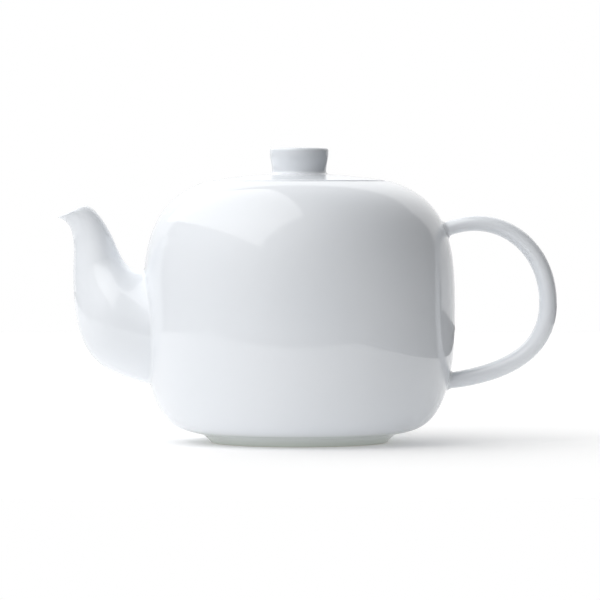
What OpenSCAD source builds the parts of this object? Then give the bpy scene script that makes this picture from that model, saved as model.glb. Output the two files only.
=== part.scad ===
// Rounded-square porcelain teapot with a lift-off lid.
// The origin is on the body's axis at the surface that the foot stands on.
// +Z is up and +X points towards the handle. All sizes are in millimetres.

/* [Body] */
// Width of the body across its widest point
body_w = 140.3; // [110:0.1:190]
// Height of the widest point above the table
widest_z = 53.8; // [45:0.1:70]
// Height that the body's curve would reach on the axis, which the lid carries on to
crown_z = 121; // [98:0.5:150]
// Squareness of the shoulder across the width
shoulder_w_power = 3.3; // [2.4:0.1:5]
// Squareness of the shoulder over the height
shoulder_h_power = 3.56; // [2.4:0.01:5]
// Squareness of the lower corner across the width
base_w_power = 8.13; // [5:0.01:12]
// Thickness of the body's wall
wall = 3.2; // [2.6:0.1:4.2]
// Thickness of the body's floor
floor_t = 3.6; // [3:0.1:5]

/* [Foot ring] */
// Height of the foot ring
foot_h = 3.5; // [2.5:0.1:5]
// Width of the foot ring where it stands on the table
foot_w = 79.4; // [60:0.2:96]
// Thickness of the foot ring at the table
foot_wall = 4.2; // [3:0.1:6]
// How far the foot ring spreads where it meets the body
foot_flare = 2.6; // [1:0.1:4]

/* [Lid] */
// Width of the lid
lid_w = 77.6; // [62:0.2:96]
// Gap between the lid's edge and the seat around it
lid_gap = 0.3; // [0.2:0.05:1]
// Gap under the lid's edge, above the shelf it rests on
rest_gap = 0.1; // [0.05:0.05:0.4]
// Width of the body's rim outside the seat
rim_land = 2.2; // [1.5:0.1:4]
// Depth of the seat below the body's rim
seat_depth = 2.6; // [2:0.1:4]
// Thickness of the shelf that carries the lid
shelf_t = 3; // [2.4:0.1:4]
// Width of the shelf that carries the lid
shelf_w = 5.6; // [4:0.1:8]
// How far the lid's edge stands above the body's rim
lid_proud = 0.45; // [0:0.05:1.5]
// Height of the lid's dome above its own edge
lid_rise = 3.1; // [1.5:0.1:6]
// Thickness of the lid
lid_wall = 3; // [2.4:0.1:4]
// Depth of the locating flange under the lid
flange_depth = 12; // [8:0.5:18]
// Thickness of the locating flange
flange_wall = 2.6; // [2:0.1:4]
// Gap between the flange and the mouth it drops into
flange_gap = 0.6; // [0.4:0.05:1.2]
// Width of the steam vent
vent_w = 3; // [2:0.1:5]
// Distance of the steam vent from the lid's centre
vent_y = 22; // [19:0.5:24]

/* [Knob] */
// Height of the knob above the lid's crown
knob_h = 11.9; // [9:0.1:18]
// Width of the knob at its top
knob_w = 26.4; // [20:0.2:34]
// How much narrower the knob's waist is than its top
knob_nip = 2; // [0.5:0.1:4]
// Radius of the rounded top edge
knob_round = 1.3; // [0.8:0.1:2.5]
// How far the knob spreads where it meets the lid
knob_flare = 1.5; // [0.8:0.1:2.5]
// Height of the domed top
knob_crown = 0.5; // [0.2:0.1:1.5]
// Thickness of the hollow knob's wall
knob_wall = 3.4; // [2.6:0.1:5]

/* [Spout] */
// Height of the spout's lowest point on the body
spout_low_z = 26.1; // [20:0.1:34]
// Height of the spout's highest point on the body
spout_high_z = 77.6; // [66:0.1:84]
// How far the pouring tip stands out from the body
spout_reach = 38.5; // [30:0.5:50]
// How far the spout's front stands out from the body
spout_belly = 31.5; // [26:0.5:40]
// How far the back of the mouth stands out from the body
mouth_back = 26.6; // [22:0.1:34]
// How far the pouring tip is below the body's rim
tip_drop = 16; // [8:0.5:24]
// How far the back of the mouth is above the tip
mouth_rise = 5.7; // [2:0.1:9]
// Thickness of the spout's wall where it meets the body
spout_wall = 3.2; // [2.4:0.1:4]
// Thickness of the spout's wall at its lip
lip_wall = 2; // [1.4:0.1:3]
// How much wider the root is at its bottom than at its middle
root_egg = 0.07; // [0:0.01:0.15]
// How much narrower the mouth is at its tip than at its middle
lip_pinch = 0.22; // [0:0.01:0.4]

/* [Strainer] */
// Width of the round port from the body into the spout
port_w = 32; // [24:0.5:36]
// Thickness of the strainer
strainer_t = 2.4; // [1.8:0.1:3]
// Length of the strainer's collar
collar_len = 7; // [5:0.5:10]
// Height of the strainer's dome
dome_h = 9; // [6:0.5:13]
// Width of each strainer hole
hole_w = 2.4; // [1.6:0.1:3]
// Spacing of the strainer holes
hole_pitch = 3.9; // [3.2:0.1:5]
// Rings of holes around the middle one
hole_rings = 3; // [1:1:3]

/* [Handle] */
// How far the handle stands out from the body
handle_reach = 45.9; // [38:0.1:60]
// How far the handle's upper root is below the body's rim
handle_drop = 21.9; // [14:0.1:34]
// Height of the handle's lower root above the table
handle_low_z = 27.7; // [22:0.1:40]
// Thickness of the handle at its upper root
handle_top_t = 6.4; // [5:0.1:9]
// Thickness of the handle at its outermost point
handle_mid_t = 8; // [6:0.1:11]
// Thickness of the handle at its lower root
handle_low_t = 7.4; // [6:0.1:10]
// Width of the handle compared with its thickness
handle_oval = 1.28; // [1:0.01:1.6]
// Radius of the fillet where the handle meets the body
handle_fillet = 1.6; // [0.5:0.1:3]

/* [Hidden] */

GLAZE = [0.93, 0.945, 0.96];
BARE = [0.86, 0.865, 0.84];
ROUND = 96;            // facets of a drawn circle
CURVE_STEPS = 18;      // points along a quarter of the body's outline
ARC_STEPS = 8;         // points along a small rounded edge
SPOUT_RINGS = 26;      // rings along the spout
SPOUT_SIDES = 36;      // points around the spout
HANDLE_RINGS = 48;     // rings along the handle
HANDLE_SIDES = 24;     // points around the handle
JOINT_FILM = 0.03;     // glaze film between a curved wall and a piece luted on to it
CUT = 1;               // how far a cutter runs past what it cuts

body_r = body_w / 2;
rise = crown_z - widest_z;
drop = widest_z - foot_h;
foot_r = foot_w / 2;
foot_top_r = foot_r + foot_flare;
lid_r = lid_w / 2;
seat_r = lid_r + lid_gap;
rim_r = seat_r + rim_land;
bore_r = seat_r - shelf_w;
rim_z = upper_z(rim_r);
shelf_z = rim_z - seat_depth;
lid_edge_z = rim_z + lid_proud;
lid_top_z = lid_edge_z + lid_rise;
lid_base_z = shelf_z + rest_gap;
flange_r = bore_r - flange_gap;
knob_r = knob_w / 2;
knob_foot_r = knob_r - knob_nip / 2 + knob_flare;
knob_seat_z = dome_z(knob_foot_r);
knob_hollow_r = knob_r - knob_nip / 2 - knob_wall;
knob_top_z = lid_top_z + knob_h;

root_mid_z = (spout_low_z + spout_high_z) / 2;
tip_z = rim_z - tip_drop;
mouth_z = tip_z + mouth_rise;
port_r = port_w / 2;
collar_r = port_r - strainer_t;
collar_x = -sqrt(pow(wall_r(root_mid_z), 2) - port_r * port_r) + 0.5;

handle_top_z = rim_z - handle_drop;
handle_out_r = body_r + handle_reach - handle_mid_t / 2;

// Height of the shoulder's curve at radius r.
function upper_z(r) =
    widest_z + rise * pow(1 - pow(r / body_r, shoulder_w_power), 1 / shoulder_h_power);

// Radius of the body's outside at height z.
function wall_r(z) = z > widest_z
    ? body_r * pow(1 - pow((z - widest_z) / rise, shoulder_h_power), 1 / shoulder_w_power)
    : body_r * pow(1 - pow((widest_z - z) / drop, 2), 1 / base_w_power);

// Height of the lid's outside at radius r, on a sphere through its edge and its top.
function dome_z(r, ball = (lid_r * lid_r / lid_rise + lid_rise) / 2) =
    lid_top_z - ball + sqrt(ball * ball - r * r);

function mix(a, b, t) = a + (b - a) * t;
function flat(lists) = [for (part = lists) for (item = part) item];

// A point a share t of the way along a curve with four control points.
function along(p, t) =
    pow(1 - t, 3) * p[0] + 3 * t * pow(1 - t, 2) * p[1] + 3 * t * t * (1 - t) * p[2] + pow(t, 3) * p[3];

// A point along two curves that join at share split.
function chain(p, q, split, t) = t < split ? along(p, t / split) : along(q, (t - split) / (1 - split));

// Outline of the body's shoulder and lower corner: [radius, height] points
// for a curve of half width r, reaching up and down from the widest point.
function lower_corner(r, down, start_r) = let (first = acos(pow(start_r / r, base_w_power / 2)))
    [for (i = [0:CURVE_STEPS]) let (a = first * (1 - i / CURVE_STEPS))
        [r * pow(cos(a), 2 / base_w_power), widest_z - down * sin(a)]];
function shoulder(r, up, end_z) = let (last = asin(pow((end_z - widest_z) / up, shoulder_h_power / 2)))
    [for (i = [1:CURVE_STEPS]) let (a = last * i / CURVE_STEPS)
        [r * pow(cos(a), 2 / shoulder_w_power), widest_z + up * pow(sin(a), 2 / shoulder_h_power)]];

// Triangles that join rings of points into a skin: ring i meets ring i + 1.
function skin(rings, sides, count) = [for (i = [0:rings - 1], j = [0:sides - 1])
    let (a = i * sides, b = ((i + 1) % count) * sides, k = (j + 1) % sides)
    each [[a + j, b + k, b + j], [a + j, a + k, b + k]]];

// The shell: a hollow of revolution with a seat for the lid and a port for the spout.
module body() {
    inner_r = body_r - wall;
    inner_drop = drop - floor_t;
    inner_rise = rise - wall;
    shelf_under_z = shelf_z - shelf_t;
    centre_r = inner_r * 0.3;
    outside = concat(lower_corner(body_r, drop, foot_top_r), shoulder(body_r, rise, rim_z));
    inside = concat(lower_corner(inner_r, inner_drop, centre_r), shoulder(inner_r, inner_rise, shelf_under_z));
    rim = [[seat_r, rim_z], [seat_r, shelf_z], [bore_r, shelf_z], [bore_r, shelf_under_z]];
    inside_down = [for (i = [len(inside) - 1:-1:0]) inside[i]];
    color(GLAZE) difference() {
        rotate_extrude($fn = ROUND)
            polygon(concat([[0, foot_h], [foot_top_r, foot_h]], outside, rim, inside_down,
                [[0, inside[0][1]]]));
        translate([-body_r - CUT, 0, root_mid_z]) rotate([0, 90, 0])
            cylinder(r = port_r, h = body_r / 2, $fn = ROUND);
    }
}

// The foot: a low ring, flared to the body, with a bare edge that stands on the table.
module foot_ring() {
    flare_a = 60;
    outside = [for (i = [0:ARC_STEPS]) let (a = flare_a * i / ARC_STEPS)
        [foot_r + foot_flare * (1 - cos(a)) / (1 - cos(flare_a)), foot_h * sin(a) / sin(flare_a)]];
    color(BARE) rotate_extrude($fn = ROUND)
        polygon(concat([[foot_r - foot_wall, 0]], outside, [[foot_r - foot_wall, foot_h]]));
}

// The spout's front and back outlines, as [x, z] from the root to the mouth.
function spout_x(out) = -(body_r + out);
function spout_front(t) = chain(
    [[-wall_r(spout_low_z), spout_low_z],
     [spout_x(spout_belly * 0.73), mix(spout_low_z, tip_z, 0.09)],
     [spout_x(spout_belly), mix(spout_low_z, tip_z, 0.19)],
     [spout_x(spout_belly), mix(spout_low_z, tip_z, 0.68)]],
    [[spout_x(spout_belly), mix(spout_low_z, tip_z, 0.68)],
     [spout_x(spout_belly), mix(spout_low_z, tip_z, 0.75)],
     [spout_x(spout_belly - 2), mix(spout_low_z, tip_z, 0.935)],
     [spout_x(spout_reach), tip_z]],
    0.5, t);
function spout_back(t) = chain(
    [[-wall_r(spout_high_z), spout_high_z],
     [spout_x(mouth_back * 0.3), spout_high_z - 0.3],
     [spout_x(mouth_back * 0.34), mix(spout_high_z, mouth_z, 0.125)],
     [spout_x(mouth_back * 0.52), mix(spout_high_z, mouth_z, 0.49)]],
    [[spout_x(mouth_back * 0.52), mix(spout_high_z, mouth_z, 0.49)],
     [spout_x(mouth_back * 0.54), mix(spout_high_z, mouth_z, 0.53)],
     [spout_x(mouth_back * 0.79), mouth_z],
     [spout_x(mouth_back), mouth_z]],
    0.7, t);

// One ring of the spout, a share t along it and inset from its outside.
// Near the body it wraps round the wall, so that its first ring lies on it.
function spout_ring(t, inset) = let (
        front = spout_front(t),
        back = spout_back(t),
        mid = (front + back) / 2,
        half = norm(front - back) / 2,
        dir = (front - back) / (2 * half),
        egg = mix(root_egg, -lip_pinch, t),
        wrap = pow(max(0, 1 - t / 0.4), 2))
    [for (j = [0:SPOUT_SIDES - 1]) let (
            a = 360 * j / SPOUT_SIDES,
            p = mid + dir * (half - inset) * cos(a),
            y = (half - inset) * sin(a) * (1 + egg * cos(a)),
            on_wall = -sqrt(pow(wall_r(p[1]), 2) - y * y) - JOINT_FILM,
            pulled = p[0] + wrap * (on_wall + wall_r(p[1])))
        [t == 0 ? on_wall : pulled, y, p[1]]];

// The spout: a closed skin, outside from root to mouth and inside back again.
module spout() {
    count = 2 * (SPOUT_RINGS + 1);
    steps = [for (i = [0:SPOUT_RINGS]) i / SPOUT_RINGS];
    outer = [for (t = steps) spout_ring(t, 0)];
    inner = [for (i = [SPOUT_RINGS:-1:0]) spout_ring(steps[i], mix(spout_wall, lip_wall, steps[i]))];
    color(GLAZE) polyhedron(flat(concat(outer, inner)), skin(count, SPOUT_SIDES, count));
}

// The strainer: a collar in the port and a pierced dome that bulges into the pot.
module strainer() {
    ball = (port_r * port_r + dome_h * dome_h) / (2 * dome_h);
    ball_z = collar_len + dome_h - ball;
    color(GLAZE) translate([collar_x, 0, root_mid_z]) rotate([0, 90, 0]) difference() {
        union() {
            cylinder(r = port_r, h = collar_len, $fn = ROUND);
            intersection() {
                translate([0, 0, ball_z]) sphere(ball, $fn = ROUND);
                translate([0, 0, collar_len]) cylinder(r = ball, h = dome_h + CUT, $fn = ROUND);
            }
        }
        translate([0, 0, ball_z]) sphere(ball - strainer_t, $fn = ROUND);
        translate([0, 0, -CUT]) cylinder(r = collar_r, h = collar_len + CUT, $fn = ROUND);
        for (ring = [0:hole_rings], i = [0:max(0, 6 * ring - 1)])
            rotate(360 * i / max(1, 6 * ring)) translate([ring * hole_pitch, 0, 0])
                cylinder(r = hole_w / 2, h = collar_len + dome_h + CUT, $fn = 24);
    }
}

// The handle's middle line, as [x, z] from its upper root to its lower one.
function handle_line(t) = chain(
    [[wall_r(handle_top_z), handle_top_z],
     [body_r + handle_reach * 0.4, handle_top_z + 9.9],
     [handle_out_r, mix(handle_low_z, handle_top_z, 0.91)],
     [handle_out_r, mix(handle_low_z, handle_top_z, 0.514)]],
    [[handle_out_r, mix(handle_low_z, handle_top_z, 0.514)],
     [handle_out_r, mix(handle_low_z, handle_top_z, 0.214)],
     [body_r + handle_reach * 0.557, handle_low_z + 3.6],
     [wall_r(handle_low_z), handle_low_z]],
    0.5, t);
function handle_half(t) = t < 0.5
    ? mix(handle_top_t, handle_mid_t, sin(180 * t)) / 2
    : mix(handle_low_t, handle_mid_t, sin(180 * t)) / 2;

// How far a quarter-round fillet stands out at distance d from the wall.
function fillet(d) = d >= handle_fillet ? 0
    : handle_fillet - sqrt(handle_fillet * handle_fillet - pow(handle_fillet - d, 2));

// One oval ring of the handle, a share t along it. Its end rings lie on the body.
function handle_ring(t) = let (
        here = handle_line(t),
        ends = t == 0 || t == 1,
        back = handle_line(max(0, t - 0.01)),
        fore = handle_line(min(1, t + 0.01)),
        dir = (fore - back) / norm(fore - back),
        gone = min(norm(here - handle_line(0)), norm(here - handle_line(1))),
        out = handle_half(t) + fillet(gone))
    [for (j = [0:HANDLE_SIDES - 1]) let (
            a = 360 * j / HANDLE_SIDES,
            x = here[0] - dir[1] * out * cos(a),
            z = here[1] + dir[0] * out * cos(a),
            y = (out + (handle_oval - 1) * handle_half(t)) * sin(a),
            on_wall = sqrt(pow(wall_r(z), 2) - y * y) + JOINT_FILM)
        [ends ? on_wall : max(x, on_wall), y, z]];

// The handle: a closed loop of oval rings with an end cap on the body at each root.
module handle() {
    steps = [for (i = [0:HANDLE_RINGS]) (1 - cos(180 * i / HANDLE_RINGS)) / 2];
    rings = [for (t = steps) handle_ring(t)];
    last = HANDLE_RINGS * HANDLE_SIDES;
    tips = [for (t = [0, 1]) let (p = handle_line(t)) [p[0] + JOINT_FILM, 0, p[1]]];
    hub = (HANDLE_RINGS + 1) * HANDLE_SIDES;
    caps = [for (j = [0:HANDLE_SIDES - 1]) let (k = (j + 1) % HANDLE_SIDES)
        each [[hub, k, j], [hub + 1, last + j, last + k]]];
    color(GLAZE) polyhedron(concat(flat(rings), tips),
        concat(skin(HANDLE_RINGS, HANDLE_SIDES, HANDLE_RINGS + 1), caps));
}

// The lid: a shallow dome with a rounded edge, a steam vent and an opening under the knob.
module lid() {
    edge_round = 0.8;
    edge = [for (i = [0:ARC_STEPS]) let (a = 90 * i / ARC_STEPS)
        [lid_r - edge_round * (1 - cos(a)), lid_edge_z - edge_round * (1 - sin(a))]];
    dome = [for (i = [1:CURVE_STEPS]) let (r = mix(lid_r - edge_round, knob_foot_r, i / CURVE_STEPS))
        [r, dome_z(r)]];
    under_r = flange_r - flange_wall;
    color(GLAZE) difference() {
        rotate_extrude($fn = ROUND)
            polygon(concat([[under_r, lid_base_z], [lid_r, lid_base_z]], edge, dome,
                [[knob_hollow_r, knob_seat_z], [knob_hollow_r, knob_seat_z - lid_wall]]));
        translate([0, vent_y, lid_base_z - CUT])
            cylinder(r = vent_w / 2, h = lid_top_z - lid_base_z + 2 * CUT, $fn = 32);
    }
}

// The flange: a deep ring under the lid that keeps it on while the pot is tipped.
module lid_flange() {
    color(GLAZE) translate([0, 0, lid_base_z - flange_depth])
        difference() {
            cylinder(r = flange_r, h = flange_depth, $fn = ROUND);
            translate([0, 0, -CUT]) cylinder(r = flange_r - flange_wall, h = flange_depth + 2 * CUT, $fn = ROUND);
        }
}

// The knob: a hollow drum with a slight waist, open to the inside of the lid.
module lid_knob() {
    waist_r = knob_r - knob_nip / 2;
    side_low_z = knob_seat_z + knob_flare;
    side_high_z = knob_top_z - knob_crown - knob_round;
    flare = [for (i = [0:ARC_STEPS]) let (a = 90 * i / ARC_STEPS)
        [knob_foot_r - knob_flare * sin(a), side_low_z - knob_flare * cos(a)]];
    side = [for (i = [1:ARC_STEPS]) let (t = i / ARC_STEPS)
        [mix(waist_r, knob_r, t * t), mix(side_low_z, side_high_z, t)]];
    top = [for (i = [1:ARC_STEPS]) let (a = 90 * i / ARC_STEPS)
        [knob_r - knob_round * (1 - cos(a)), side_high_z + knob_round * sin(a)]];
    crown = [for (i = [1:ARC_STEPS]) let (t = i / ARC_STEPS)
        [(knob_r - knob_round) * (1 - t), knob_top_z - knob_crown * pow(1 - t, 2)]];
    hollow_z = knob_top_z - knob_crown - knob_wall;
    color(GLAZE) rotate_extrude($fn = ROUND)
        polygon(concat([[knob_hollow_r, knob_seat_z]], flare, side, top, crown,
            [[0, hollow_z], [knob_hollow_r, hollow_z]]));
}

body();
foot_ring();
spout();
strainer();
handle();
lid();
lid_flange();
lid_knob();
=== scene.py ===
from math import acos, asin, cos, pi, radians, sin, sqrt, tau

import bmesh
import bpy
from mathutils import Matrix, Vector


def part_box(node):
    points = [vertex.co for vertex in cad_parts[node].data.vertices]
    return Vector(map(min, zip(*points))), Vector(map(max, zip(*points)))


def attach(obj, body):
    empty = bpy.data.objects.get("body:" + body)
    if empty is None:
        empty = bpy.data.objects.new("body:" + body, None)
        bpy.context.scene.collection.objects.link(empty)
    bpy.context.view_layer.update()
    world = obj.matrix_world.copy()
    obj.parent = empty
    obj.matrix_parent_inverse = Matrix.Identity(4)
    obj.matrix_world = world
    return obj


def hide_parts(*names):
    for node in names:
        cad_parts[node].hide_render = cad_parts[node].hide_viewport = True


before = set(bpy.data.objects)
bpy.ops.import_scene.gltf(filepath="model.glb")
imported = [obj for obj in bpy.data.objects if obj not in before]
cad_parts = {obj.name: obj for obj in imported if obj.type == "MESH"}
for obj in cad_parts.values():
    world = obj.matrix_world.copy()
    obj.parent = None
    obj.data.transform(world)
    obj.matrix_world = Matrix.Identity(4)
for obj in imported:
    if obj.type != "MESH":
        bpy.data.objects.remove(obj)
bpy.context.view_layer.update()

# A porcelain teapot. The pieces are modelled in millimetres, and finish_piece turns them to metres.
MM = 0.001


# ---------------------------------------------------------------- sizes taken from the frame

def box_mm(node):
    """The lowest and highest corners of a node's box, in millimetres."""
    low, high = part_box(node)
    return low / MM, high / MM


body_low, body_high = box_mm("body")
lid_low, lid_high = box_mm("lid")
flange_low, flange_high = box_mm("lid_flange")
strainer_low, strainer_high = box_mm("strainer")

BODY_R = body_high.y
RIM_Z = body_high.z
FOOT_H = body_low.z
FOOT_FLAT_R = box_mm("foot_ring")[1].x
LID_R = lid_high.x
LID_BASE_Z = lid_low.z
KNOB_TOP_Z = box_mm("lid_knob")[1].z
FLANGE_R = flange_high.x
FLANGE_LOW_Z = flange_low.z
PORT_R = strainer_high.y
PORT_Z = (strainer_low.z + strainer_high.z) / 2

# ---------------------------------------------------------------- sizes of the design, in millimetres

# The body: heights of its widest point and of the crown that its shoulder's curve aims at, and
# the powers of the curves that make it a rounded square.
WIDEST_Z = 53.8
CROWN_Z = 121.0
SHOULDER_W_POWER = 3.3
SHOULDER_H_POWER = 3.56
BASE_W_POWER = 8.13
WALL = 3.2
FLOOR_T = 3.6

# The foot ring: its outside at the standing edge, and where its flare runs out on the body.
FOOT_R = 39.9
FOOT_WALL = 4.3
FOOT_SPREAD_R = 45.8

# The rim, the seat in it, and the lid that lies in the seat.
RIM_ROUND = 0.7
RIM_EDGE_DROP = 0.35
LID_GAP = 0.3
SEAT_DEPTH = 2.6
SHELF_W = 5.6
SHELF_T = 3.0
LID_PROUD = 0.45
LID_RISE = 3.1
LID_WALL = 3.0
LID_ROUND = 0.8
FLANGE_WALL = 2.6
VENT_R = 1.5
VENT_Y = 22.0

# The knob: it is narrowest just above its flared foot, and reaches its full radius below the top.
KNOB_WAIST_R = 12.2
KNOB_TOP_R = 13.2
KNOB_FULL_Z = 130.3
KNOB_ROUND = 1.3
KNOB_FLARE = 1.5
KNOB_CROWN = 0.5
KNOB_WALL = 3.4

# The spout: its root on the body, its belly and its slanted mouth.
SPOUT_LOW_Z = 26.1
SPOUT_HIGH_Z = 77.6
TIP_DROP = 16.0
MOUTH_RISE = 5.7
SPOUT_REACH = 38.5
SPOUT_BELLY = 31.5
MOUTH_BACK = 26.6
SPOUT_WALL = 3.2
LIP_WALL = 2.0
LIP_DIP = 0.6
LIP_ROUND = 0.6
ROOT_EGG = 0.07
LIP_PINCH = 0.22
SPOUT_FILLET = 1.2

# The handle: how far out it reaches, its roots, and its thickness along it.
HANDLE_REACH = 45.9
HANDLE_DROP = 21.9
HANDLE_LOW_Z = 27.7
HANDLE_TOP_T = 6.4
HANDLE_MID_T = 8.0
HANDLE_LOW_T = 7.4
HANDLE_OVAL = 1.28
HANDLE_FILLET = 2.0

# Sizes that follow from the others.
HANDLE_TOP_Z = RIM_Z - HANDLE_DROP
TIP_Z = RIM_Z - TIP_DROP
MOUTH_Z = TIP_Z + MOUTH_RISE
RISE = CROWN_Z - WIDEST_Z
DROP = WIDEST_Z - FOOT_H
TURN_STEPS = 192

# Edges sharper than this stay crisp.
CREASE = radians(40)

# Height below which the glaze is darker and faintly green: partly pooled glaze, partly painted shade under the
# body.
POOL_AND_SHADE_TOP = 6.5


def mix(a, b, t):
    """The value a share t of the way from a to b."""
    return a + (b - a) * t


def wall_r(z, inset=0.0):
    """Radius of the body's outside at height z, or of a surface inset from it."""
    r = BODY_R - inset
    if z > WIDEST_Z:
        share = min(1.0, (z - WIDEST_Z) / (RISE - inset))
        return r * (1 - share ** SHOULDER_H_POWER) ** (1 / SHOULDER_W_POWER)
    share = min(1.0, (WIDEST_Z - z) / (DROP - inset))
    return r * (1 - share ** 2) ** (1 / BASE_W_POWER)


def wall_x(y, z, inset=0.0):
    """How far out the body's wall is at (y, z), measured along X."""
    return sqrt(max(0.0, wall_r(z, inset) ** 2 - y * y))


# ---------------------------------------------------------------- outlines, as (radius, height) points

def arc(centre, radius, start, end, steps=8):
    """Points of an arc, its angles in degrees."""
    return [(centre[0] + radius * cos(radians(mix(start, end, i / steps))),
             centre[1] + radius * sin(radians(mix(start, end, i / steps)))) for i in range(steps + 1)]


def rounded(corners, steps=6):
    """An outline through (radius, height, corner radius) corners, its middle corners rounded off."""
    points = [corners[0][:2]]
    for before, corner, after in zip(corners, corners[1:], corners[2:]):
        here = Vector(corner[:2])
        to_before = (Vector(before[:2]) - here).normalized()
        to_after = (Vector(after[:2]) - here).normalized()
        half_angle = to_before.angle(to_after, pi) / 2
        if corner[2] <= 0 or half_angle > 1.5:
            points.append(tuple(here))
            continue
        reach = corner[2] / (sin(half_angle) / cos(half_angle))
        centre = here + (to_before + to_after).normalized() * corner[2] / sin(half_angle)
        first = here + to_before * reach - centre
        last = here + to_after * reach - centre
        for i in range(steps + 1):
            points.append(tuple(centre + first.lerp(last, i / steps).normalized() * corner[2]))
    return points + [corners[-1][:2]]


def curve_weights(t):
    """How much each of a curve's four control points counts at t."""
    return (1 - t) ** 3, 3 * t * (1 - t) ** 2, 3 * t * t * (1 - t), t ** 3


def curve(p, t):
    """A point a share t of the way along a curve with four control points."""
    points = [Vector(q) for q in p]
    return sum((w * q for w, q in zip(curve_weights(t), points)), points[0] * 0)


def curve_points(p, steps):
    """Points all along a curve with four control points."""
    return [tuple(curve(p, i / steps)) for i in range(steps + 1)]


def lower_corner(inset, start_r, steps):
    """The body's underside corner, from radius start_r up to the widest point."""
    r = BODY_R - inset
    first = acos((start_r / r) ** (BASE_W_POWER / 2))
    angles = [first * (1 - i / steps) for i in range(steps + 1)]
    down = DROP - (FLOOR_T if inset else 0)
    return [(r * cos(a) ** (2 / BASE_W_POWER), WIDEST_Z - down * sin(a)) for a in angles]


def shoulder(inset, end_z, steps):
    """The body's shoulder, from just above the widest point up to height end_z."""
    r, up = BODY_R - inset, RISE - inset
    last = asin(((end_z - WIDEST_Z) / up) ** (SHOULDER_H_POWER / 2))
    angles = [last * (i / steps) ** 1.7 for i in range(1, steps + 1)]
    return [(r * cos(a) ** (2 / SHOULDER_W_POWER), WIDEST_Z + up * sin(a) ** (2 / SHOULDER_H_POWER))
            for a in angles]


# ---------------------------------------------------------------- materials

def linear(code):
    """A colour given as an sRGB hex code, as the linear values that a shader takes."""
    parts = [int(code[i:i + 2], 16) / 255 for i in (1, 3, 5)]
    return [p / 12.92 if p <= 0.04045 else ((p + 0.055) / 1.055) ** 2.4 for p in parts] + [1.0]


def add_node(tree, kind, inputs=None, **settings):
    """Adds a node, with its settings, and with its inputs set or linked."""
    made = tree.nodes.new(kind)
    for name, value in settings.items():
        setattr(made, name, value)
    for name, value in (inputs or {}).items():
        if isinstance(value, bpy.types.NodeSocket):
            tree.links.new(value, made.inputs[name])
        else:
            made.inputs[name].default_value = value
    return made


def new_material(name):
    """An empty material with a Principled shader, and its Object coordinates."""
    material = bpy.data.materials.new(name)
    material.use_nodes = True
    tree = material.node_tree
    tree.nodes.clear()
    shader = add_node(tree, "ShaderNodeBsdfPrincipled")
    add_node(tree, "ShaderNodeOutputMaterial", {"Surface": shader.outputs["BSDF"]})
    place = add_node(tree, "ShaderNodeTexCoord").outputs["Object"]
    return material, tree, shader, place


def size_scale(size_mm):
    """The noise scale that gives features of this size."""
    return 1 / (size_mm * MM)


def glazed_porcelain():
    """White hard-paste porcelain under a clear glaze, poured on and fired glossy.

    The clay is a cool white. The glaze lies in very slight waves, which bend the edges of
    reflections, and it is a trace thicker and cooler in some places.
    Low down at the foot it is darker and faintly green: partly glaze that ran down and pooled, partly painted
    shade under the body.
    """
    material, tree, shader, place = new_material("glazed porcelain")
    drift = add_node(tree, "ShaderNodeTexNoise", {"Vector": place, "Scale": size_scale(38), "Detail": 2.0})
    tone = add_node(tree, "ShaderNodeMix", {"Factor": drift.outputs["Fac"], 6: linear("#EEF1F5"),
                                            7: linear("#EAEEF3")}, data_type="RGBA")
    height = add_node(tree, "ShaderNodeSeparateXYZ", {0: place}).outputs["Z"]
    # Towards the bottom the colour turns darker and faintly green: partly pooled glaze, partly painted shade
    # under the body.
    pooled_and_shaded = add_node(tree, "ShaderNodeMapRange", {"Value": height, "From Min": POOL_AND_SHADE_TOP * MM, "From Max": 0.0})
    glaze = add_node(tree, "ShaderNodeMix", {"Factor": pooled_and_shaded.outputs[0], 6: tone.outputs[2],
                                             7: linear("#E4EAE2")}, data_type="RGBA")
    tree.links.new(glaze.outputs[2], shader.inputs["Base Color"])
    waves = add_node(tree, "ShaderNodeTexNoise", {"Vector": place, "Scale": size_scale(13), "Detail": 1.0})
    ripple = add_node(tree, "ShaderNodeBump", {"Height": waves.outputs["Fac"], "Strength": 1.0,
                                               "Distance": 0.02 * MM})
    peel = add_node(tree, "ShaderNodeTexNoise", {"Vector": place, "Scale": size_scale(1.6), "Detail": 1.0})
    skin = add_node(tree, "ShaderNodeBump", {"Height": peel.outputs["Fac"], "Normal": ripple.outputs["Normal"],
                                             "Strength": 1.0, "Distance": 0.0012 * MM})
    tree.links.new(skin.outputs["Normal"], shader.inputs["Normal"])
    shader.inputs["Roughness"].default_value = 0.02
    shader.inputs["IOR"].default_value = 1.56
    return material


def bare_porcelain():
    """Fired porcelain wiped clean of glaze where it would stick to the kiln shelf or the lid.

    It is a dry, very fine matt white, a little warmer than the glaze, with the grain of the clay.
    """
    material, tree, shader, place = new_material("bare porcelain")
    grain = add_node(tree, "ShaderNodeTexNoise", {"Vector": place, "Scale": size_scale(0.7), "Detail": 3.0})
    tone = add_node(tree, "ShaderNodeMix", {"Factor": grain.outputs["Fac"], 6: linear("#DAD9D0"),
                                            7: linear("#E4E3DB")}, data_type="RGBA")
    tree.links.new(tone.outputs[2], shader.inputs["Base Color"])
    rough = add_node(tree, "ShaderNodeBump", {"Height": grain.outputs["Fac"], "Distance": 0.02 * MM})
    tree.links.new(rough.outputs["Normal"], shader.inputs["Normal"])
    shader.inputs["Roughness"].default_value = 0.62
    return material


GLAZE = glazed_porcelain()
BARE = bare_porcelain()


# ---------------------------------------------------------------- making pieces

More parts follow.
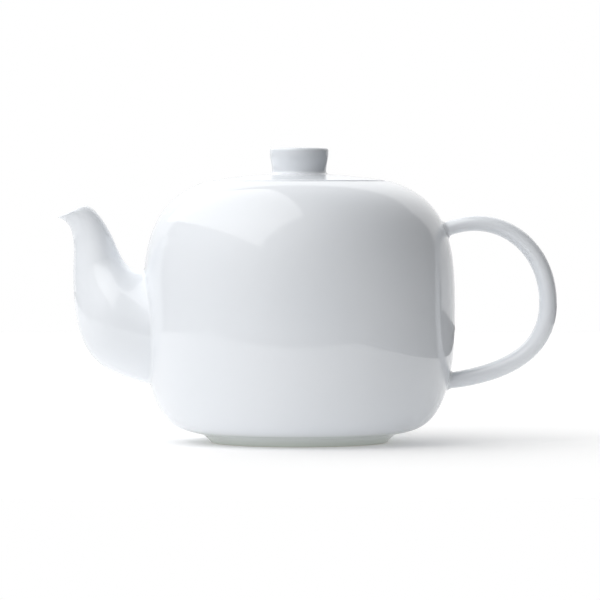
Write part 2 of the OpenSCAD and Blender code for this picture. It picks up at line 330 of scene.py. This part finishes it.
def revolve(outline, closed=False):
    """A shape turned round the pot's axis from an outline."""
    bm = bmesh.new()
    verts = [bm.verts.new((r, 0, z)) for r, z in outline]
    ends = verts[1:] + verts[:1] if closed else verts[1:]
    edges = [bm.edges.new(pair) for pair in zip(verts, ends)]
    bmesh.ops.spin(bm, geom=verts + edges, cent=(0, 0, 0), axis=(0, 0, 1), angle=tau,
                   steps=TURN_STEPS, use_merge=True)
    return bm


def tube(rings):
    """A skin drawn out from the first ring of points through the others, one after another."""
    bm = bmesh.new()
    ring = bmesh.ops.create_circle(bm, segments=len(rings[0]), radius=1)["verts"]
    edges = list(bm.edges)
    for vert, point in zip(ring, rings[0]):
        vert.co = point
    for points in rings[1:]:
        drawn = bmesh.ops.extrude_edge_only(bm, edges=edges)["geom"]
        fresh = {part for part in drawn if isinstance(part, bmesh.types.BMVert)}
        ring = [next(edge.other_vert(vert) for edge in vert.link_edges if edge.other_vert(vert) in fresh)
                for vert in ring]
        edges = list({edge for vert in ring for edge in vert.link_edges if edge.other_vert(vert) in fresh})
        for vert, point in zip(ring, points):
            vert.co = point
    return bm


def finish_piece(bm, node, body, bare=None):
    """Cleans a mesh, gives it its finish and makes it the piece that stands for a node on a body.

    bare says, from a face's middle in millimetres, whether the face has no glaze.
    """
    bmesh.ops.remove_doubles(bm, verts=bm.verts, dist=0.0005)
    bmesh.ops.recalc_face_normals(bm, faces=bm.faces)
    for face in bm.faces:
        face.smooth = True
        if bare and bare(face.calc_center_median()):
            face.material_index = 1
    for edge in bm.edges:
        edge.smooth = edge.calc_face_angle(0.0) < CREASE
    bmesh.ops.scale(bm, vec=(MM, MM, MM), verts=bm.verts)
    mesh = bpy.data.meshes.new(node)
    bm.to_mesh(mesh)
    bm.free()
    mesh.materials.append(GLAZE)
    if bare:
        mesh.materials.append(BARE)
    piece = bpy.data.objects.new(node, mesh)
    bpy.context.scene.collection.objects.link(piece)
    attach(piece, body)
    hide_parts(node)


def open_edges(bm):
    """The edges along a mesh's holes."""
    return [edge for edge in bm.edges if len(edge.link_faces) == 1]


def pierce(bm, inside, onto_rim):
    """Cuts a round hole through a wall.

    inside says whether a point is within the hole, and onto_rim moves a point to the hole's edge
    on the skin that it belongs to.
    """
    gone = [face for face in bm.faces if inside(face.calc_center_median())]
    bmesh.ops.delete(bm, geom=gone, context="FACES")
    edges = open_edges(bm)
    for vert in {vert for edge in edges for vert in edge.verts}:
        vert.co = onto_rim(vert.co.copy())
    bmesh.ops.bridge_loops(bm, edges=edges)


# ---------------------------------------------------------------- the pot

def make_body():
    """The shell: rounded-square outside, a rounded rim, the lid's seat, the mouth and the inside."""
    seat_r = LID_R + LID_GAP
    rim_r = wall_r(RIM_Z - RIM_EDGE_DROP)
    shelf_z = RIM_Z - SEAT_DEPTH
    bore_r = seat_r - SHELF_W
    under_z = shelf_z - SHELF_T
    inside_top = shoulder(WALL, under_z, 40)
    rim = rounded([(rim_r, RIM_Z - RIM_EDGE_DROP, 0), (rim_r - 0.75, RIM_Z, RIM_ROUND), (seat_r, RIM_Z, 0.45),
                   (seat_r, shelf_z, 0.25), (bore_r, shelf_z, 0.7), (bore_r, under_z, 0.9),
                   (inside_top[-1][0], under_z, 0.6), inside_top[-2] + (0,)])
    inside_up = lower_corner(WALL, 12.0, 44) + inside_top[:-2]
    outline = ([(0, FOOT_H), (FOOT_FLAT_R, FOOT_H)] + lower_corner(0, FOOT_FLAT_R, 64)[1:]
               + shoulder(0, RIM_Z - RIM_EDGE_DROP, 60) + rim[1:-1] + inside_up[::-1] + [(0, inside_up[0][1])])
    bm = revolve(outline)

    def in_port(p):
        return p.x < 0 and (p.y ** 2 + (p.z - PORT_Z) ** 2) < PORT_R ** 2

    def to_port_edge(p):
        inner = -p.x < (wall_x(p.y, p.z) + wall_x(p.y, p.z, WALL)) / 2
        side = Vector((p.y, p.z - PORT_Z)).normalized() * PORT_R
        y, z = side.x, side.y + PORT_Z
        return Vector((-wall_x(y, z, WALL if inner else 0.0), y, z))

    pierce(bm, in_port, to_port_edge)

    def bare_seat(p):
        radius = sqrt(p.x ** 2 + p.y ** 2)
        return bore_r + 0.9 < radius < seat_r and abs(p.z - shelf_z) < 0.2

    finish_piece(bm, "body", "pot", bare_seat)


def wall_spread_z():
    """Height of the body's underside where the foot's flare runs out on it."""
    share = (FOOT_SPREAD_R / BODY_R) ** BASE_W_POWER
    return WIDEST_Z - DROP * sqrt(1 - share) - 0.05


def make_foot():
    """The foot ring: flared into the body outside, with a bare standing edge."""
    inner_r = FOOT_R - FOOT_WALL
    flare = curve_points([(FOOT_R + 0.1, 0.45), (FOOT_R + 1.9, 2.6), (FOOT_R + 3.3, 3.75),
                          (FOOT_SPREAD_R, wall_spread_z())], 20)
    outline = ([(FOOT_R - 2, FOOT_H + 0.4)] + rounded(
        [(inner_r, FOOT_H + 0.4, 0), (inner_r, 0, 0.6), (FOOT_R - 0.1, 0, 0.45), flare[0] + (0,)])
        + flare[1:] + [(FOOT_SPREAD_R, FOOT_H + 1.4)])
    bm = revolve(outline, closed=True)
    finish_piece(bm, "foot_ring", "pot", lambda p: p.z < 0.3)


def chain(p, q, split, t):
    """A point along two curves that join at share split."""
    return curve(p, t / split) if t < split else curve(q, (t - split) / (1 - split))


def spout_front(t):
    """The spout's front outline, from the root to the tip, as (x, z)."""
    belly = -(BODY_R + SPOUT_BELLY)
    mid = (belly, mix(SPOUT_LOW_Z, TIP_Z, 0.68))
    return chain([(-wall_r(SPOUT_LOW_Z), SPOUT_LOW_Z),
                  (-(BODY_R + SPOUT_BELLY * 0.73), mix(SPOUT_LOW_Z, TIP_Z, 0.09)),
                  (belly, mix(SPOUT_LOW_Z, TIP_Z, 0.19)), mid],
                 [mid, (belly, mix(SPOUT_LOW_Z, TIP_Z, 0.75)), (belly + 2.6, mix(SPOUT_LOW_Z, TIP_Z, 0.957)),
                  (-(BODY_R + SPOUT_REACH - LIP_ROUND), TIP_Z)], 0.5, t)


def spout_back(t):
    """The spout's back outline, from the root to the mouth's back, as (x, z)."""
    mid = (-(BODY_R + MOUTH_BACK * 0.52), mix(SPOUT_HIGH_Z, MOUTH_Z, 0.49))
    return chain([(-wall_r(SPOUT_HIGH_Z), SPOUT_HIGH_Z), (-(BODY_R + MOUTH_BACK * 0.3), SPOUT_HIGH_Z - 0.3),
                  (-(BODY_R + MOUTH_BACK * 0.34), mix(SPOUT_HIGH_Z, MOUTH_Z, 0.125)), mid],
                 [mid, (-(BODY_R + MOUTH_BACK * 0.54), mix(SPOUT_HIGH_Z, MOUTH_Z, 0.53)),
                  (-(BODY_R + MOUTH_BACK * 0.79), MOUTH_Z), (-(BODY_R + MOUTH_BACK), MOUTH_Z)], 0.7, t)


def fillet(distance, radius):
    """How far a quarter-round fillet stands out at a distance from the wall."""
    if distance >= radius:
        return 0.0
    return radius - sqrt(radius ** 2 - (radius - max(0.0, distance)) ** 2)


def spout_point(t, angle, inset):
    """A point on the spout, a share t along it. Near the body it wraps round the wall."""
    front, back = spout_front(t), spout_back(t)
    middle, half = (front + back) / 2, (front - back).length / 2
    across = (front - back) / (2 * half)
    egg = mix(ROOT_EGG, -LIP_PINCH, t)
    place = middle + across * (half - inset) * cos(angle)
    y = (half - inset) * sin(angle) * (1 + egg * cos(angle))
    chord_share = (place.y - SPOUT_LOW_Z) / (SPOUT_HIGH_Z - SPOUT_LOW_Z)
    chord_x = mix(wall_r(SPOUT_LOW_Z), wall_r(SPOUT_HIGH_Z), min(1.0, max(0.0, chord_share)))
    wrap = max(0.0, 1 - t / 0.4) ** 2
    x = place.x - wrap * (wall_x(y, place.y) - chord_x)
    near_lip = max(0.0, (t - 0.8) / 0.2) ** 2
    z = place.y - near_lip * (LIP_DIP * sin(angle) ** 2 + LIP_ROUND)
    return Vector((x, y, z))


def spout_ring(t, inset, sides=96):
    """A ring of the spout. Where the outside meets the body, it spreads into a small fillet."""
    points = []
    for i in range(sides):
        angle = tau * i / sides
        away = (spout_point(t, angle, 0.0) - spout_point(0, angle, 0.0)).length
        spread = 0.0 if inset else fillet(away, SPOUT_FILLET)
        points.append(spout_point(t, angle, inset - spread))
    return points


def lip_rings(steps=12):
    """The rounded lip: it goes on from the outside's end and turns back into the inside's end."""
    outer, inner = spout_ring(1, 0.0), spout_ring(1, LIP_WALL)
    below = spout_ring(0.985, 0.0)
    rings = []
    for k in range(1, steps):
        points = []
        for end, inside, back in zip(outer, inner, below):
            onward = (end - back).normalized()
            across = end - inside
            reach = onward * (across - onward * across.dot(onward)).length * 0.95
            points.append(curve([end, end + reach, inside + reach, inside], k / steps))
        rings.append(points)
    return rings


def make_spout():
    """The spout: outside from root to lip, over the rounded lip and back down the inside."""
    outside = [spout_ring((i / 110) ** 1.7, 0.0) for i in range(111)]
    inside = [spout_ring(t, mix(SPOUT_WALL, LIP_WALL, sqrt(t))) for t in (1 - i / 50 for i in range(51))]
    rings = outside + lip_rings() + inside
    finish_piece(tube(rings + rings[:1]), "spout", "pot")


def make_strainer():
    """The strainer: the pierced dome and collar of the design, with its curves smoothed."""
    bm = bmesh.new()
    bm.from_mesh(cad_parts["strainer"].data)
    bmesh.ops.scale(bm, vec=(1 / MM, 1 / MM, 1 / MM), verts=bm.verts)
    finish_piece(bm, "strainer", "pot")


def handle_line(t):
    """The handle's middle line, from the upper root to the lower one, as (x, z)."""
    out = BODY_R + HANDLE_REACH - HANDLE_MID_T / 2
    mid = (out, mix(HANDLE_LOW_Z, HANDLE_TOP_Z, 0.514))
    return chain([(wall_r(HANDLE_TOP_Z), HANDLE_TOP_Z), (BODY_R + HANDLE_REACH * 0.4, HANDLE_TOP_Z + 9.9),
                  (out, mix(HANDLE_LOW_Z, HANDLE_TOP_Z, 0.91)), mid],
                 [mid, (out, mix(HANDLE_LOW_Z, HANDLE_TOP_Z, 0.214)),
                  (BODY_R + HANDLE_REACH * 0.557, HANDLE_LOW_Z + 3.6), (wall_r(HANDLE_LOW_Z), HANDLE_LOW_Z)],
                 0.5, t)


def handle_ring(t, sides=48):
    """An oval ring of the handle, a share t along it. Near the body it follows the wall."""
    here = handle_line(t)
    ahead = (handle_line(min(1, t + 0.01)) - handle_line(max(0, t - 0.01))).normalized()
    root_t = HANDLE_TOP_T if t < 0.5 else HANDLE_LOW_T
    half = mix(root_t, HANDLE_MID_T, sin(pi * t)) / 2
    end = handle_line(0 if t < 0.5 else 1)
    away = (here - end).length
    spread = fillet(away, HANDLE_FILLET)
    follow = max(0.0, 1 - away / 8) ** 2
    points = []
    for i in range(sides):
        angle = tau * i / sides
        flat = here + Vector((-ahead.y, ahead.x)) * (half + spread) * cos(angle)
        y = (half * HANDLE_OVAL + spread) * sin(angle)
        root_z = flat.y - (here.y - end.y)
        on_wall = wall_x(y, root_z) + (here.x - end.x)
        points.append(Vector((mix(flat.x, on_wall, follow), y, flat.y)))
    return points


def make_handle():
    """The handle: an oval loop that spreads into a small fillet where it meets the body."""
    steps = [(1 - cos(pi * i / 120)) / 2 for i in range(121)]
    rings = [handle_ring(t) for t in steps]
    sunk = [[point - Vector((0.8, 0, 0)) for point in rings[i]] for i in (0, -1)]
    bm = tube(sunk[:1] + rings + sunk[1:])
    bmesh.ops.holes_fill(bm, edges=open_edges(bm), sides=0)
    finish_piece(bm, "handle", "pot")


# ---------------------------------------------------------------- the lid

def dome_z(r):
    """Height of the lid's outside at radius r."""
    edge_z = RIM_Z + LID_PROUD
    ball = (LID_R ** 2 / LID_RISE + LID_RISE) / 2
    return edge_z + LID_RISE - ball + sqrt(ball ** 2 - r ** 2)


def make_lid():
    """The lid: a shallow dome with a rounded edge, an open middle under the knob and a vent."""
    hollow_r = KNOB_WAIST_R - KNOB_WALL
    under_r = FLANGE_R - FLANGE_WALL
    edge_z = RIM_Z + LID_PROUD
    edge = rounded([(FLANGE_R + 0.5, LID_BASE_Z, 0), (LID_R, LID_BASE_Z, 0.3), (LID_R, edge_z, LID_ROUND),
                    (LID_R - 3, dome_z(LID_R - 3), 0)], 8)
    steps = 72
    top = [(r, dome_z(r)) for r in (mix(LID_R - 3, hollow_r, i / steps) for i in range(1, steps + 1))]
    under = [(r, dome_z(r) - LID_WALL) for r in (mix(hollow_r, under_r - 0.5, i / 44) for i in range(45))]
    bm = revolve(edge + top + under + [(under_r, LID_BASE_Z + 0.1), (FLANGE_R - 0.5, LID_BASE_Z)], closed=True)

    def in_vent(p):
        return (p.x ** 2 + (p.y - VENT_Y) ** 2) < (VENT_R + 0.2) ** 2

    def to_vent_edge(p):
        side = Vector((p.x, p.y - VENT_Y)).normalized() * VENT_R
        return Vector((side.x, side.y + VENT_Y, p.z))

    pierce(bm, in_vent, to_vent_edge)

    def bare_rest(p):
        return p.z < LID_BASE_Z + 0.2 and sqrt(p.x ** 2 + p.y ** 2) > FLANGE_R + 0.6

    finish_piece(bm, "lid", "lid", bare_rest)


def make_flange():
    """The flange: a ring under the lid, filleted to it and rounded at its lower edge."""
    inner_r = FLANGE_R - FLANGE_WALL
    outline = rounded([(FLANGE_R - 1.2, LID_BASE_Z + 0.2, 0), (inner_r - 1.0, LID_BASE_Z + 0.2, 0),
                       (inner_r, LID_BASE_Z - 1.2, 1.0), (inner_r + 0.1, FLANGE_LOW_Z, 1.1),
                       (FLANGE_R - 0.1, FLANGE_LOW_Z, 1.1), (FLANGE_R, LID_BASE_Z + 0.2, 0),
                       (FLANGE_R - 1.2, LID_BASE_Z + 0.2, 0)], 8)[:-1]
    finish_piece(revolve(outline, closed=True), "lid_flange", "lid")


def make_knob():
    """The knob: a hollow drum with a slight waist, a rounded top edge and a fillet at its foot."""
    foot_r = KNOB_WAIST_R + KNOB_FLARE
    hollow_r = KNOB_WAIST_R - KNOB_WALL
    seat_z = dome_z(foot_r)
    side_low_z = seat_z + KNOB_FLARE
    side_high_z = KNOB_TOP_Z - KNOB_CROWN - KNOB_ROUND
    flare = arc((foot_r, side_low_z), KNOB_FLARE, 270, 180, 10)
    side = [(mix(KNOB_WAIST_R, KNOB_TOP_R, t * t * (3 - 2 * t)), mix(side_low_z, KNOB_FULL_Z, t))
            for t in (i / 20 for i in range(1, 21))]
    top = arc((KNOB_TOP_R - KNOB_ROUND, side_high_z), KNOB_ROUND, 0, 82, 12)
    crown = [(top[-1][0] * (1 - t), mix(top[-1][1], KNOB_TOP_Z, 1 - (1 - t) ** 2))
             for t in (i / 16 for i in range(1, 17))]
    hollow_z = KNOB_TOP_Z - KNOB_CROWN - KNOB_WALL
    hollow = rounded([(0, hollow_z, 0), (hollow_r, hollow_z, 2.5), (hollow_r, seat_z - LID_WALL * 0.5, 0)], 10)
    outline = [(foot_r, seat_z - 0.05)] + flare + side + top + crown + hollow
    finish_piece(revolve(outline, closed=True), "lid_knob", "lid")


make_body()
make_foot()
make_spout()
make_handle()
make_lid()
make_flange()
make_knob()
make_strainer()


# ---------------------------------------------------------------- table, light and camera

def painted_table():
    """The matt white paint of the table, lit until it shows white."""
    material, _, shader, _ = new_material("painted table")
    shader.inputs["Base Color"].default_value = linear("#EAEAEA")
    shader.inputs["Roughness"].default_value = 0.9
    shader.inputs["Specular IOR Level"].default_value = 0.1
    shader.inputs["Emission Color"].default_value = (1, 1, 1, 1)
    shader.inputs["Emission Strength"].default_value = TABLE_GLOW
    return material


def add_table():
    """The flat board that the pot stands on, just under the foot ring."""
    bm = bmesh.new()
    bmesh.ops.create_grid(bm, x_segments=1, y_segments=1, size=0.5)
    bmesh.ops.scale(bm, vec=(TABLE_RIGHT - TABLE_LEFT, TABLE_BACK - TABLE_FRONT, 1), verts=bm.verts)
    middle = ((TABLE_LEFT + TABLE_RIGHT) / 2, (TABLE_FRONT + TABLE_BACK) / 2, -0.00005)
    bmesh.ops.translate(bm, vec=middle, verts=bm.verts)
    mesh = bpy.data.meshes.new("table")
    bm.to_mesh(mesh)
    bm.free()
    mesh.materials.append(painted_table())
    table = bpy.data.objects.new("table", mesh)
    bpy.context.scene.collection.objects.link(table)


def add_panel(name, centre, size, strength, aim=(0, 0, 0.06)):
    """A soft, flat studio light. Its first side is level, and it faces aim."""
    lamp = bpy.data.lights.new(name, "AREA")
    lamp.shape = "RECTANGLE"
    lamp.size, lamp.size_y = size
    lamp.energy = strength * size[0] * size[1] * pi
    panel = bpy.data.objects.new(name, lamp)
    panel.location = centre
    panel.rotation_euler = (Vector(aim) - Vector(centre)).to_track_quat("-Z", "Y").to_euler()
    panel.visible_camera = False
    bpy.context.scene.collection.objects.link(panel)


def room_glow(tree, ray, direction, focus, strength):
    """Light that comes from the room around one direction, and fades away from it."""
    near = add_node(tree, "ShaderNodeVectorMath", {0: ray, 1: Vector(direction).normalized()},
                    operation="DOT_PRODUCT")
    ahead = add_node(tree, "ShaderNodeMath", {0: near.outputs["Value"], 1: 0.0}, operation="MAXIMUM")
    faded = add_node(tree, "ShaderNodeMath", {0: ahead.outputs[0], 1: focus}, operation="POWER")
    return add_node(tree, "ShaderNodeMath", {0: faded.outputs[0], 1: strength}, operation="MULTIPLY").outputs[0]


def studio_world():
    """The light of a pale room, strongest from above the spout, and a plain white background."""
    world = bpy.data.worlds.new("studio")
    world.use_nodes = True
    tree = world.node_tree
    tree.nodes.clear()
    ray = add_node(tree, "ShaderNodeTexCoord").outputs["Generated"]
    total = ROOM_BASE
    for direction, focus, strength in ROOM_GLOWS:
        glow = room_glow(tree, ray, direction, focus, strength)
        total = add_node(tree, "ShaderNodeMath", {0: glow, 1: total}, operation="ADD").outputs[0]
    seen = add_node(tree, "ShaderNodeLightPath").outputs["Is Camera Ray"]
    room = add_node(tree, "ShaderNodeBackground", {"Color": (1, 1, 1, 1), "Strength": total})
    white = add_node(tree, "ShaderNodeBackground", {"Color": (1, 1, 1, 1), "Strength": 1.0})
    both = add_node(tree, "ShaderNodeMixShader", {0: seen, 1: room.outputs[0], 2: white.outputs[0]})
    add_node(tree, "ShaderNodeOutputWorld", {"Surface": both.outputs[0]})
    bpy.context.scene.world = world


# The table's edges, in metres, and how strongly it is lit through.
TABLE_LEFT = -0.9
TABLE_RIGHT = 0.29
TABLE_FRONT = -0.35
TABLE_BACK = 1.4
TABLE_GLOW = 0.2

# The room's even light, and each of its glows: where it comes from, how tightly, and how strongly.
ROOM_BASE = 0.03
ROOM_GLOWS = [((-0.5, -0.5, 0.7), 4.0, 1.4), ((-1, 0, 0), 2.0, 0.12), ((0, -1, 0), 2.0, 0.08),
              ((0.1, 0.75, 0.65), 5.0, 0.85)]

add_table()
add_panel("leaning_scrim", (-0.484, 0.126, 1.35), (2.42, 1.62), 1.35, aim=(0.383, 0.277, 0.876))
add_panel("back_wall", (0.0, 1.5, 0.85), (3.8, 1.7), 0.68, aim=(0, 0, 0.85))
studio_world()
bpy.context.scene.view_settings.view_transform = "Standard"

# A long lens, nearly level. FRAME_WIDTH is what it takes in at the pot, in metres.
CAMERA_AT = Vector((0.0004, -1.957, 0.1175))
CAMERA_PITCH = radians(-1.566)
FRAME_WIDTH = 0.270
lens = bpy.data.cameras.new("camera")
lens.sensor_width = 36
lens.lens = lens.sensor_width * -CAMERA_AT.y / FRAME_WIDTH
camera = bpy.data.objects.new("camera", lens)
camera.location = CAMERA_AT
camera.rotation_euler = (pi / 2 + CAMERA_PITCH, 0, 0)
bpy.context.scene.collection.objects.link(camera)
bpy.context.scene.camera = camera
